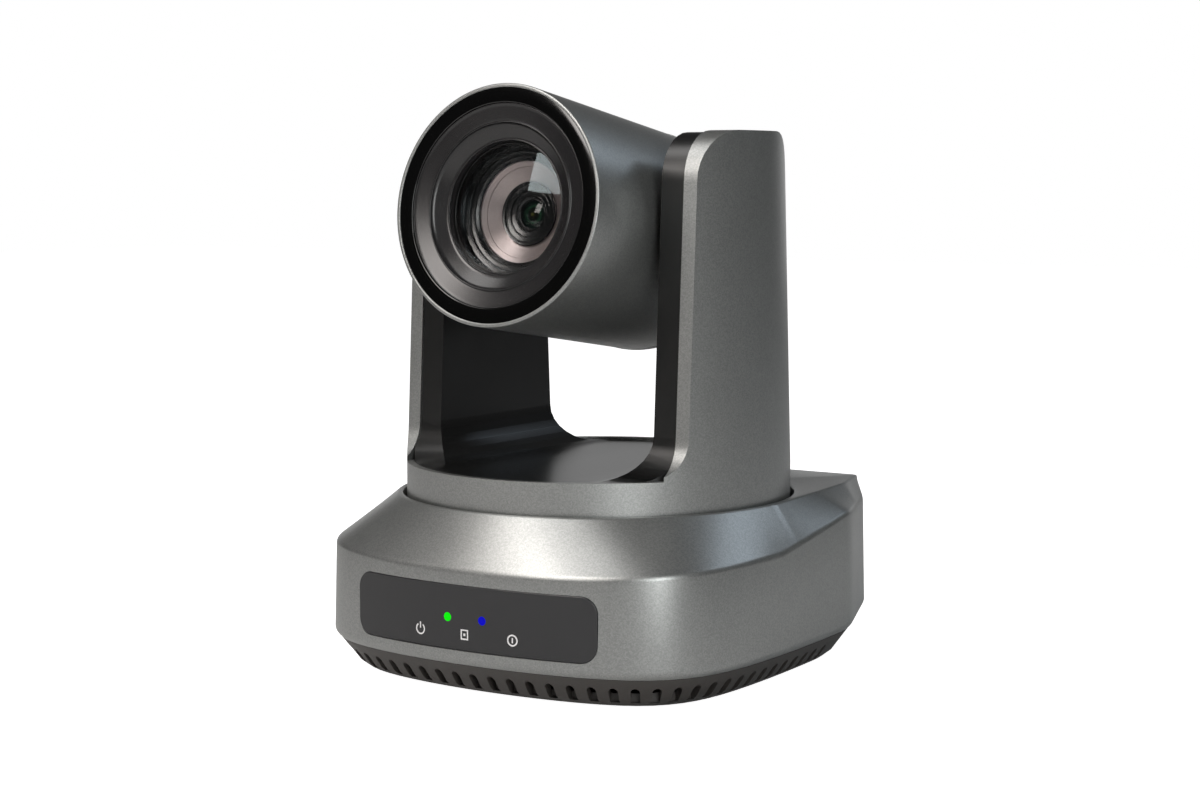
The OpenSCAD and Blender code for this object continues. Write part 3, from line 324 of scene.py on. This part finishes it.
coverSizes = {
    "frontRadius": 188, "sideRadius": 600, "cornerPower": 7.2, "rearHalf": 56, "facetFrom": 33, "crisp": 150,
    "opening": 60.4, "crest": 1.4, "topSideTurn": 4, "topFacetTurn": 15.2, "topFacetIn": 7.8,
    "edgeZ": 10.1, "edgeTurn": 1.6, "edgeHigh": 1.5, "wall": 2.4, "lean": 0.7,
    "ridgeZ": 37.5, "ridgeRise": 2.8, "ridgeClimb": 0.155, "climbFrom": -10,
    "lowRound": 1.2, "ridgeRound": 1.1, "topRound": 0.6, "openingRound": 0.5, "steps": 360,
    "seatGap": 0.1, "windowCorner": 5, "panelCorner": 2,
}


def softMin(values, power):
    low = min(values)
    return low * sum((low / v) ** power for v in values) ** (-1 / power)


def toCircle(a, cx, cy, r):
    d = cx * math.cos(a) + cy * math.sin(a)
    return d + math.sqrt(d * d + r * r - cx * cx - cy * cy)


def toLine(a, facing, d):
    c = math.cos(a - facing)
    return d / c if c > 0.05 else 20 * d


def coverRing(s, kind, inset, height):
    # one ring of points round the base in mm: kind is wall, top or circle; height is a number or "ridge"
    low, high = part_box("base_cover")
    half, front, back = high.x / mm, -low.y / mm, high.y / mm
    facetTurn = math.atan2(half - s["rearHalf"], back - s["facetFrom"])
    facetFar = s["rearHalf"] * math.cos(facetTurn) + back * math.sin(facetTurn)
    square = math.pi
    points = []
    for i in range(s["steps"]):
        a = math.tau * i / s["steps"]
        if kind == "wall":
            face = softMin([toCircle(a, 0, s["frontRadius"] - front, s["frontRadius"] - inset),
                            toCircle(a, s["sideRadius"] - half, 0, s["sideRadius"] - inset),
                            toCircle(a, half - s["sideRadius"], 0, s["sideRadius"] - inset)], s["cornerPower"])
            r = softMin([face, toLine(a, facetTurn, facetFar - inset), toLine(a, square - facetTurn, facetFar - inset),
                         toLine(a, square / 2, back - inset)], s["crisp"])
        elif kind == "top":
            side, facet = math.radians(s["topSideTurn"]), math.radians(s["topFacetTurn"])
            sideFar = s["opening"] + s["crest"] + 0.3 - inset
            r = softMin([s["opening"] + s["crest"] - inset if math.sin(a) < 0 else 2 * back,
                         toLine(a, side, sideFar), toLine(a, square - side, sideFar),
                         toLine(a, facet, facetFar - s["topFacetIn"] - inset),
                         toLine(a, square - facet, facetFar - s["topFacetIn"] - inset),
                         toLine(a, square / 2, back - inset)], 2 * s["crisp"])
        else:
            r = inset
        x, y = r * math.cos(a), r * math.sin(a)
        z = height
        if height == "ridge":
            z = (s["ridgeZ"] + s["ridgeRise"] * min(1, (x / half) ** 2)
                 + s["ridgeClimb"] * max(0, min(y, s["facetFrom"]) - s["climbFrom"]))
        points.append(Vector((x, y, z)) * mm)
    return points


def loft(bm, rings):
    # extrudes a circle of edges from ring to ring and closes the last onto the first; returns each ring's edges
    start = bmesh.ops.create_circle(bm, cap_ends=False, segments=len(rings[0]), radius=1)["verts"]
    ringVerts = list(start)
    ringEdges = list({e for v in ringVerts for e in v.link_edges})
    for v, place in zip(ringVerts, rings[0]):
        v.co = place
    found = [ringEdges]
    for ring in rings[1:] + rings[:1]:
        grown = bmesh.ops.extrude_edge_only(bm, edges=ringEdges)["geom"]
        fresh = {g for g in grown if isinstance(g, bmesh.types.BMVert)}
        order = []
        for v in ringVerts:
            order.append(next(e.other_vert(v) for e in v.link_edges if e.other_vert(v) in fresh))
        for v, place in zip(order, ring):
            v.co = place
        ringVerts = order
        ringEdges = [g for g in grown if isinstance(g, bmesh.types.BMEdge) and all(v in fresh for v in g.verts)]
        found.append(ringEdges)
    return found[:-1]


def roundEdges(bm, edges, radiusMm, segments=4):
    bmesh.ops.bevel(bm, geom=[e for e in edges if e.is_valid], offset=radiusMm * mm, offset_type="OFFSET",
                    segments=segments, profile=0.5, affect="EDGES", material=-1, clamp_overlap=True)


def roundedSlab(halfW, low, high, corner, y0, y1, steps=8):
    # a rounded rectangle in the XZ plane, drawn out from y0 to y1, as its own bmesh
    bm = bmesh.new()
    bmesh.ops.create_grid(bm, x_segments=1, y_segments=1, size=1)
    place = (Matrix.Translation((0, y0 * mm, (low + high) / 2 * mm)) @ Matrix.Rotation(math.pi / 2, 4, "X")
             @ Matrix.Diagonal((halfW * mm, (high - low) / 2 * mm, 1, 1)))
    bmesh.ops.transform(bm, matrix=place, verts=bm.verts)
    bmesh.ops.bevel(bm, geom=list(bm.verts), offset=corner * mm, offset_type="OFFSET", segments=steps, profile=0.5,
                    affect="VERTICES", material=-1)
    grown = bmesh.ops.extrude_face_region(bm, geom=list(bm.faces))["geom"]
    bmesh.ops.translate(bm, vec=(0, (y1 - y0) * mm, 0), verts=[g for g in grown if isinstance(g, bmesh.types.BMVert)])
    bmesh.ops.recalc_face_normals(bm, faces=bm.faces)
    return bm


def carve(bm, cutter):
    # cuts one closed mesh out of another
    made = []
    for name, source in (("carveBody", bm), ("carveTool", cutter)):
        mesh = bpy.data.meshes.new(name)
        source.to_mesh(mesh)
        obj = bpy.data.objects.new(name, mesh)
        bpy.context.scene.collection.objects.link(obj)
        made.append(obj)
    cut = made[0].modifiers.new("cut", "BOOLEAN")
    cut.operation, cut.solver, cut.object = "DIFFERENCE", "EXACT", made[1]
    graph = bpy.context.evaluated_depsgraph_get()
    result = bpy.data.meshes.new_from_object(made[0].evaluated_get(graph))
    bm.clear()
    bm.from_mesh(result)
    cutter.free()
    for obj in made:
        mesh = obj.data
        bpy.data.objects.remove(obj)
        bpy.data.meshes.remove(mesh)
    bpy.data.meshes.remove(result)


def makeBaseCover(s):
    low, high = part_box("base_cover")
    topZ, innerZ = high.z / mm, high.z / mm - s["wall"] - 1
    bm = bmesh.new()
    found = loft(bm, [
        coverRing(s, "wall", s["wall"], s["edgeZ"] + 6),
        coverRing(s, "wall", s["wall"], s["edgeZ"]),
        coverRing(s, "wall", s["edgeTurn"], s["edgeZ"]),
        coverRing(s, "wall", 0, s["edgeZ"] + s["edgeHigh"]),
        coverRing(s, "wall", s["lean"], "ridge"),
        coverRing(s, "top", 0, topZ),
        coverRing(s, "circle", s["opening"], topZ),
        coverRing(s, "circle", s["opening"], innerZ),
        [p - Vector((0, 0, s["wall"] / 2 * mm)) for p in coverRing(s, "wall", s["wall"] + s["lean"], "ridge")],
    ])
    roundEdges(bm, found[3], s["lowRound"])
    roundEdges(bm, found[4], s["ridgeRound"], 5)
    roundEdges(bm, found[5], s["topRound"])
    roundEdges(bm, found[6], s["openingRound"])
    bmesh.ops.remove_doubles(bm, verts=bm.verts, dist=1e-6)
    bmesh.ops.recalc_face_normals(bm, faces=bm.faces)
    paneLow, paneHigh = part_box("front_window")
    gap = s["seatGap"]
    carve(bm, roundedSlab(paneHigh.x / mm + gap, paneLow.z / mm - gap, paneHigh.z / mm + gap, s["windowCorner"],
                          low.y / mm - 2, low.y / mm + 6))
    panelLow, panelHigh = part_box("rear_panel")
    carve(bm, roundedSlab(panelHigh.x / mm + gap, panelLow.z / mm - gap, panelHigh.z / mm + gap, s["panelCorner"],
                          high.y / mm - 6, high.y / mm + 1))
    return finishPiece("base.cover", bm, "base_cover", 28)


makeBaseCover(coverSizes)
print("base cover made")


# receiverBars: middle across, middle up, half width and half height of each bar of the square mark
markSizes = {
    "proud": 0.06, "lightR": 1.35, "iconR": 1.5, "stroke": 0.42, "drop": 4.6,
    "receiverBars": ((0, 1.3, 1.1, 0.2), (0, -1.3, 1.1, 0.2), (-1.1, 0, 0.2, 1.5), (1.1, 0, 0.2, 1.5),
                     (0, 0, 0.35, 0.35)),
}


def windowFace(x):
    # y of the window's front at this x, in mm
    radius = coverSizes["frontRadius"]
    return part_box("front_window")[0].y / mm + radius - math.sqrt(radius ** 2 - x * x)


def makeLight(node, s):
    low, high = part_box(node)
    x, z = (low.x + high.x) / 2 / mm, (low.z + high.z) / 2 / mm
    face = windowFace(x) - s["proud"]
    r, back = s["lightR"], high.y / mm
    length = back - face
    profile = [(0, 0), (r - 0.12, 0), (r, 0.12), (r, length - 2), (r + 0.4, length - 2), (r + 0.4, length), (0, length)]
    place = Matrix.Translation((x * mm, face * mm, z * mm)) @ Matrix.Rotation(-math.pi / 2, 4, "X")
    spinPiece("window." + node, node, profile, place, 48)


def printedMark(name, bm, s):
    # thickens a flat outline drawn in XZ and lays it on the window's curved face
    bmesh.ops.remove_doubles(bm, verts=bm.verts, dist=1e-6)
    grown = bmesh.ops.extrude_face_region(bm, geom=list(bm.faces))["geom"]
    bmesh.ops.translate(bm, vec=(0, 0.3 * mm, 0), verts=[g for g in grown if isinstance(g, bmesh.types.BMVert)])
    for v in bm.verts:
        v.co.y += (windowFace(v.co.x / mm) - s["proud"]) * mm
    bmesh.ops.recalc_face_normals(bm, faces=bm.faces)
    return finishPiece(name, bm, "front_window", 30, slot="white_plastic", material=whitePrint, hides=False)


def arcStroke(bm, cx, cz, r, stroke, fromTurn, toTurn, steps=24):
    # part of a flat ring, swept by spinning one short edge
    a = bm.verts.new(((cx + r - stroke / 2) * mm, 0, cz * mm))
    b = bm.verts.new(((cx + r + stroke / 2) * mm, 0, cz * mm))
    edge = bm.edges.new((a, b))
    centre = (cx * mm, 0, cz * mm)
    bmesh.ops.rotate(bm, cent=centre, matrix=Matrix.Rotation(-math.radians(fromTurn), 3, "Y"), verts=[a, b])
    full = toTurn - fromTurn >= 360
    bmesh.ops.spin(bm, geom=[a, b, edge], cent=centre, axis=(0, -1, 0), angle=math.radians(toTurn - fromTurn),
                   steps=steps, use_merge=full)


def barStroke(bm, cx, cz, halfW, halfH):
    made = bmesh.ops.create_grid(bm, x_segments=1, y_segments=1, size=1)["verts"]
    bmesh.ops.transform(bm, matrix=Matrix.Translation((cx * mm, 0, cz * mm)) @ Matrix.Rotation(math.pi / 2, 4, "X")
                        @ Matrix.Diagonal((halfW * mm, halfH * mm, 1, 1)), verts=made)


# Pale ink printed on the window: flat and slightly rough, with a faint unevenness
def screenPrint():
    material, tree, shader = newMaterial("whiteScreenPrint", {"IOR": 1.5})
    grain(tree, shader, 0.5, "#c9c8c9", "#dcdbdc", 0.5, 0.6, 0.004)
    return material


whitePrint = screenPrint()
makeLight("power_light", markSizes)
makeLight("standby_light", markSizes)
lightLow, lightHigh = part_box("power_light")
lightZ, lightX = (lightLow.z + lightHigh.z) / 2 / mm, (lightLow.x + lightHigh.x) / 2 / mm
for markName, cx in (("mark.power", 2.7 * lightX), ("mark.standby", -2.7 * lightX)):
    bm = bmesh.new()
    cz = lightZ - markSizes["drop"]
    if cx < 0:
        arcStroke(bm, cx, cz, markSizes["iconR"], markSizes["stroke"], 125, 415)
        barStroke(bm, cx, cz + markSizes["iconR"] * 0.75, markSizes["stroke"] / 2, markSizes["iconR"] * 0.6)
    else:
        arcStroke(bm, cx, cz, markSizes["iconR"], markSizes["stroke"], 0, 360)
        barStroke(bm, cx, cz, markSizes["stroke"] / 2, markSizes["iconR"] * 0.5)
    printedMark(markName, bm, markSizes)
bm = bmesh.new()
for cx, cz, w, h in markSizes["receiverBars"]:
    barStroke(bm, cx, lightZ - markSizes["drop"] + cz, w, h)
printedMark("mark.receiver", bm, markSizes)
print("window finished")


headBack, headFront, _, headR = lensSpan("head_shell")


def bead(r, z, size, inward=0, steps=6):
    # a small rounded ridge on a spun outline, from outside to inside
    return [(r + size * math.cos(math.pi * k / steps), z + size * math.sin(math.pi * k / steps) + inward * k / steps)
            for k in range(steps + 1)]


def corner(cx, cz, r, fromTurn, toTurn, steps=6):
    return [(cx + r * math.cos(math.radians(fromTurn + (toTurn - fromTurn) * k / steps)),
             cz + r * math.sin(math.radians(fromTurn + (toTurn - fromTurn) * k / steps))) for k in range(steps + 1)]


shellSizes = {"rim": 1.2, "rimRound": 0.5, "seat": 2.4, "wall": 2, "taper": 0.01}


def makeHeadShell(s):
    backR = headR - s["taper"] * (headFront - headBack)
    r = s["rimRound"]
    outline = [(backR - s["wall"], headBack), (backR - 0.3, headBack), (backR, headBack + 0.3)]
    outline += corner(headR - r - 0.05, headFront - r, r, 0, 90)
    outline += corner(headR - s["rim"] + 0.25, headFront - 0.25, 0.25, 90, 180, 4)
    outline += [(headR - s["rim"], headFront - s["seat"]), (headR - s["wall"], headFront - s["seat"])]
    return spinPiece("head.shell", "head_shell", outline, steps=192)


capSizes = {"squareness": 0.45, "wall": 2, "steps": 28}


def makeRearCap(s):
    back, front, _, radius = lensSpan("rear_cap")
    deep = front - back
    def sweep(shrink, steps):
        rows = []
        for k in range(steps + 1):
            a = math.pi / 2 * k / steps
            rows.append(((radius - shrink) * max(0.0, math.cos(a)) ** s["squareness"] if k < steps else 0.0,
                         front - (deep - shrink) * math.sin(a)))
        return rows
    outline = sweep(0, s["steps"]) + sweep(s["wall"], s["steps"] // 2)[::-1]
    return spinPiece("head.rearCap", "rear_cap", outline, steps=192)


bezelSizes = {"edge": 0.25, "lip": 0.35}


def makeBezel(s):
    back, front, inner, outer = lensSpan("front_bezel")
    outline = [(inner, back), (outer, back), (outer, front - s["edge"])]
    outline += corner(outer - s["edge"], front - s["edge"], s["edge"], 0, 90, 4)
    outline += corner(inner + s["lip"], front - s["lip"], s["lip"], 90, 180, 4)
    return spinPiece("head.bezel", "front_bezel", outline, steps=192)


coneSizes = {"step": 24.2, "stepDeep": 1.8, "mouthDeep": 4.8, "seatDeep": 2.35, "bead": 0.16, "groovePitch": 0.55,
             "grooveDeep": 0.035}


def makeConeRing(s):
    back, front, inner, outer = lensSpan("cone_ring")
    bezelIn = lensSpan("front_bezel")[2] - 0.05
    mouth = headFront - s["mouthDeep"]
    seat = headFront - s["seatDeep"]
    outline = [(outer, back), (outer, seat), (bezelIn, seat)]

    def grooved(r0, z0, r1, z1):
        # a cone drawn as shallow turned grooves
        count = int(abs(r1 - r0) / s["groovePitch"])
        rows = []
        for k in range(count + 1):
            t = k / count
            dip = s["grooveDeep"] if k % 2 else 0
            rows.append((r0 + (r1 - r0) * t, z0 + (z1 - z0) * t - dip))
        return rows
    outline += bead(bezelIn - s["bead"], headFront - 0.85, s["bead"])
    outline += grooved(bezelIn - 0.5, headFront - 0.95, s["step"] + 0.6, headFront - s["stepDeep"] - 0.2)
    outline += bead(s["step"] + 0.15, headFront - s["stepDeep"], s["bead"] * 1.2)
    outline += grooved(s["step"] - 0.3, headFront - s["stepDeep"] - 0.7, inner + 0.6, mouth)
    outline += bead(inner + s["bead"], mouth + 0.05, s["bead"])
    outline += [(inner, back)]
    return spinPiece("lens.coneRing", "cone_ring", outline, steps=192, sharp=40)


# each step is a share of the way in to the inner cone, and its height over the rings' back
baffleSizes = {"bead": 0.1, "lip": 0.35, "steps": ((0.36, 2.1), (0.68, 1.0), (0.94, 0.12))}


def makeBaffles(s):
    # black steps that narrow towards the inner cone, each with a bright turned edge
    back, front, inner, outer = lensSpan("baffle_rings")
    glassR = lensSpan("front_lens")[3]
    outline = [(outer, back), (outer, front), (glassR + s["lip"], front)]
    outline += bead(glassR + 0.2, front - 0.4, s["bead"])
    outline += [(glassR + 0.02, front - 0.8), (glassR + 0.02, back + 2.4)]
    reach = glassR - inner
    for share, lift in s["steps"]:
        r = inner + reach * (1 - share)
        outline += [(r + 0.3, back + lift)] + bead(r, back + lift, s["bead"]) + [(r - 0.12, back + lift * 0.6)]
    outline += [(inner, back)]
    return spinPiece("lens.baffles", "baffle_rings", outline, steps=160, sharp=30, material=barrelBlack)


# each pair is how far in from the mouth and how deep behind the front
innerConeSizes = {"lipSteps": ((0, 0), (0.1, 0.3), (1.5, 1.1), (1.6, 1.3), (1.8, 1.4)), "endDeep": 3.8, "endTurn": 0.5}


def makeInnerCone(s):
    back, front, inner, outer = lensSpan("inner_cone")
    mouth = lensSpan("baffle_rings")[2]
    outline = [(inner, back), (outer, back), (outer, front)]
    outline += [(mouth - step, front - deep) for step, deep in s["lipSteps"]]
    outline += [(inner + s["endTurn"], front - s["endDeep"] + 0.2), (inner, front - s["endDeep"])]
    return spinPiece("lens.innerCone", "inner_cone", outline, steps=160, sharp=30)


# each ring is its radius and its height over the group's front
innerSizes = {"glass": 4.0, "bead": 0.13, "rings": ((8.6, 0.0), (7.0, -0.7), (5.4, -1.3), (4.4, -1.9)), "rise": 0.9}


def makeInnerGroup(s):
    # retaining rings and the small glass at the cone's end, stepped in towards the pupil
    back, front, _, outer = lensSpan("second_lens")
    ring = [(outer, back), (outer, front - 0.05)]
    for r, drop in s["rings"]:
        ring += [(r + 0.3, front + drop - 0.2)] + bead(r, front + drop - 0.2, s["bead"])
        ring += [(r - 0.25, front + drop - 0.5)]
    ring += [(s["glass"] + 0.02, back + 1.2), (s["glass"] + 0.02, back)]
    spinPiece("lens.innerRings", "second_lens", ring, steps=128, slot="black_plastic", sharp=30, material=barrelBlack)
    glass = [(0, back + 0.2), (s["glass"], back + 0.2), (s["glass"], back + 0.6)]
    glass += [(s["glass"] * (1 - k / 8), back + 0.6 + s["rise"] * (1 - (1 - k / 8) ** 2)) for k in range(1, 9)]
    spinPiece("lens.innerGlass", "second_lens", glass, steps=96, slot="coated_glass", material=rearGlassWithPaintedReflection, hides=False)


frontGlassSizes = {"sag": 1.9, "thick": 0.25, "steps": 16}


def makeFrontGlass(s):
    # a thin domed shell, so light still reaches what lies behind it
    _, front, _, outer = lensSpan("front_lens")
    shares = [k / s["steps"] for k in range(s["steps"] + 1)]
    dome = [(outer * t, front - s["sag"] * t ** 2) for t in shares]
    under = [(r, z - s["thick"]) for r, z in dome[::-1]]
    spinPiece("lens.frontGlass", "front_lens", dome + under, steps=160, slot="coated_glass", material=frontGlass)


# Ground and polished glass under a thin green coating: nearly clear face on, brighter where the surface turns away
def thinCoating(name, tint, clear, edge, rough=0.01):
    material, tree, shader = newMaterial(name, {"Base Color": linear(tint), "Metallic": 1, "Roughness": rough})
    weight = add(tree, "ShaderNodeLayerWeight", {"Blend": 0.35})
    amount = add(tree, "ShaderNodeMapRange", {"To Min": clear, "To Max": edge}, {"Value": weight.outputs["Facing"]})
    tree.links.new(amount.outputs[0], shader.inputs["Alpha"])
    return material


# The rear glass has painted reflection in its colour: a light yellow-green centre, a dark band and a deep green ring,
# painted by distance from the lens axis; its sharp highlight comes from its low roughness
def paintedReflectionRearGlass():
    material, tree, shader = newMaterial("rearGlassPaintedReflection", {"IOR": 1.35, "Roughness": 0.05})
    where = add(tree, "ShaderNodeTexCoord")
    toAxis = headPlace.inverted()
    spot = add(tree, "ShaderNodeMapping", {"Location": toAxis.to_translation(), "Rotation": toAxis.to_euler()},
               {"Vector": where.outputs["Object"]})
    flat = add(tree, "ShaderNodeMapping", {"Scale": (1 / (4 * mm), 1 / (4 * mm), 0)}, {"Vector": spot.outputs[0]})
    away = add(tree, "ShaderNodeVectorMath", {"operation": "LENGTH"}, {0: flat.outputs[0]})
    # painted reflection: the colour steps from a light centre through dark and green rings out to the glass's edge
    ramp = add(tree, "ShaderNodeValToRGB", {}, {"Fac": away.outputs["Value"]})
    stops = ramp.color_ramp.elements
    stops[0].position, stops[0].color = 0.0, linear("#3a3a18")
    stops[1].position, stops[1].color = 1.0, linear("#0c1a14")
    for place, tone in ((0.16, "#15170c"), (0.4, "#050807"), (0.62, "#13281b"), (0.8, "#0a120e")):
        stop = stops.new(place)
        stop.color = linear(tone)
    tree.links.new(ramp.outputs[0], shader.inputs["Base Color"])
    return material


barrelBlack = mouldedPlastic("satinBarrelAbs", "#030303", "#050505", 0.24, 2, 0.0)
frontGlass = thinCoating("coatedFrontGlass", "#b4c2c8", 0.012, 0.12)
rearGlassWithPaintedReflection = paintedReflectionRearGlass()
makeHeadShell(shellSizes)
makeRearCap(capSizes)
makeBezel(bezelSizes)
makeConeRing(coneSizes)
makeBaffles(baffleSizes)
makeInnerCone(innerConeSizes)
makeInnerGroup(innerSizes)
makeFrontGlass(frontGlassSizes)
print("head and lens made")


floorMesh = bpy.data.meshes.new("studioFloor")
bm = bmesh.new()
bmesh.ops.create_grid(bm, x_segments=2, y_segments=2, size=3)
bm.to_mesh(floorMesh)
bm.free()
# Matt white paper, lit from below towards the viewer so that it stays white, with only a soft contact shadow
floorMaterial, floorTree, floorShader = newMaterial("mattStudioPaper", {"Base Color": (0.75, 0.75, 0.75, 1),
                                                    "Roughness": 0.9, "Emission Color": (1, 1, 1, 1)})
seen = add(floorTree, "ShaderNodeLightPath")
glow = add(floorTree, "ShaderNodeMath", {"operation": "MULTIPLY", 1: 0.97}, {0: seen.outputs["Is Camera Ray"]})
floorTree.links.new(glow.outputs[0], floorShader.inputs["Emission Strength"])
floorMesh.materials.append(floorMaterial)
studioFloor = bpy.data.objects.new("studioFloor", floorMesh)
bpy.context.scene.collection.objects.link(studioFloor)

# The room is dim in front and white behind, as a studio with a lit white sweep is
world = bpy.data.worlds.new("studioWorld")
world.use_nodes = True
tree = world.node_tree
backdrop = tree.nodes["Background"]
where = add(tree, "ShaderNodeTexCoord")
split = add(tree, "ShaderNodeSeparateXYZ", {}, {0: where.outputs["Generated"]})
away = add(tree, "ShaderNodeVectorMath", {"operation": "DOT_PRODUCT", 1: (-viewBack.x, -viewBack.y, 0)},
           {0: where.outputs["Generated"]})
sweep = add(tree, "ShaderNodeMapRange", {"From Min": 0.75, "From Max": 0.95, "To Min": 0, "To Max": 0.9},
            {"Value": away.outputs["Value"]})
low = add(tree, "ShaderNodeMapRange", {"From Min": 0.12, "From Max": 0.3, "To Min": 1, "To Max": 0},
          {"Value": split.outputs["Z"]})
behind = add(tree, "ShaderNodeMath", {"operation": "MULTIPLY_ADD", 2: 0.06},
             {0: sweep.outputs[0], 1: low.outputs[0]})
seen = add(tree, "ShaderNodeLightPath")
strength = add(tree, "ShaderNodeMix", {"data_type": "FLOAT", 3: 1.0}, {0: seen.outputs["Is Camera Ray"],
                                                                      2: behind.outputs[0]})
tree.links.new(strength.outputs[0], backdrop.inputs["Strength"])
backdrop.inputs["Color"].default_value = (1, 1, 1, 1)
bpy.context.scene.world = world
bpy.context.scene.view_settings.view_transform = "Standard"
print("floor and room made")
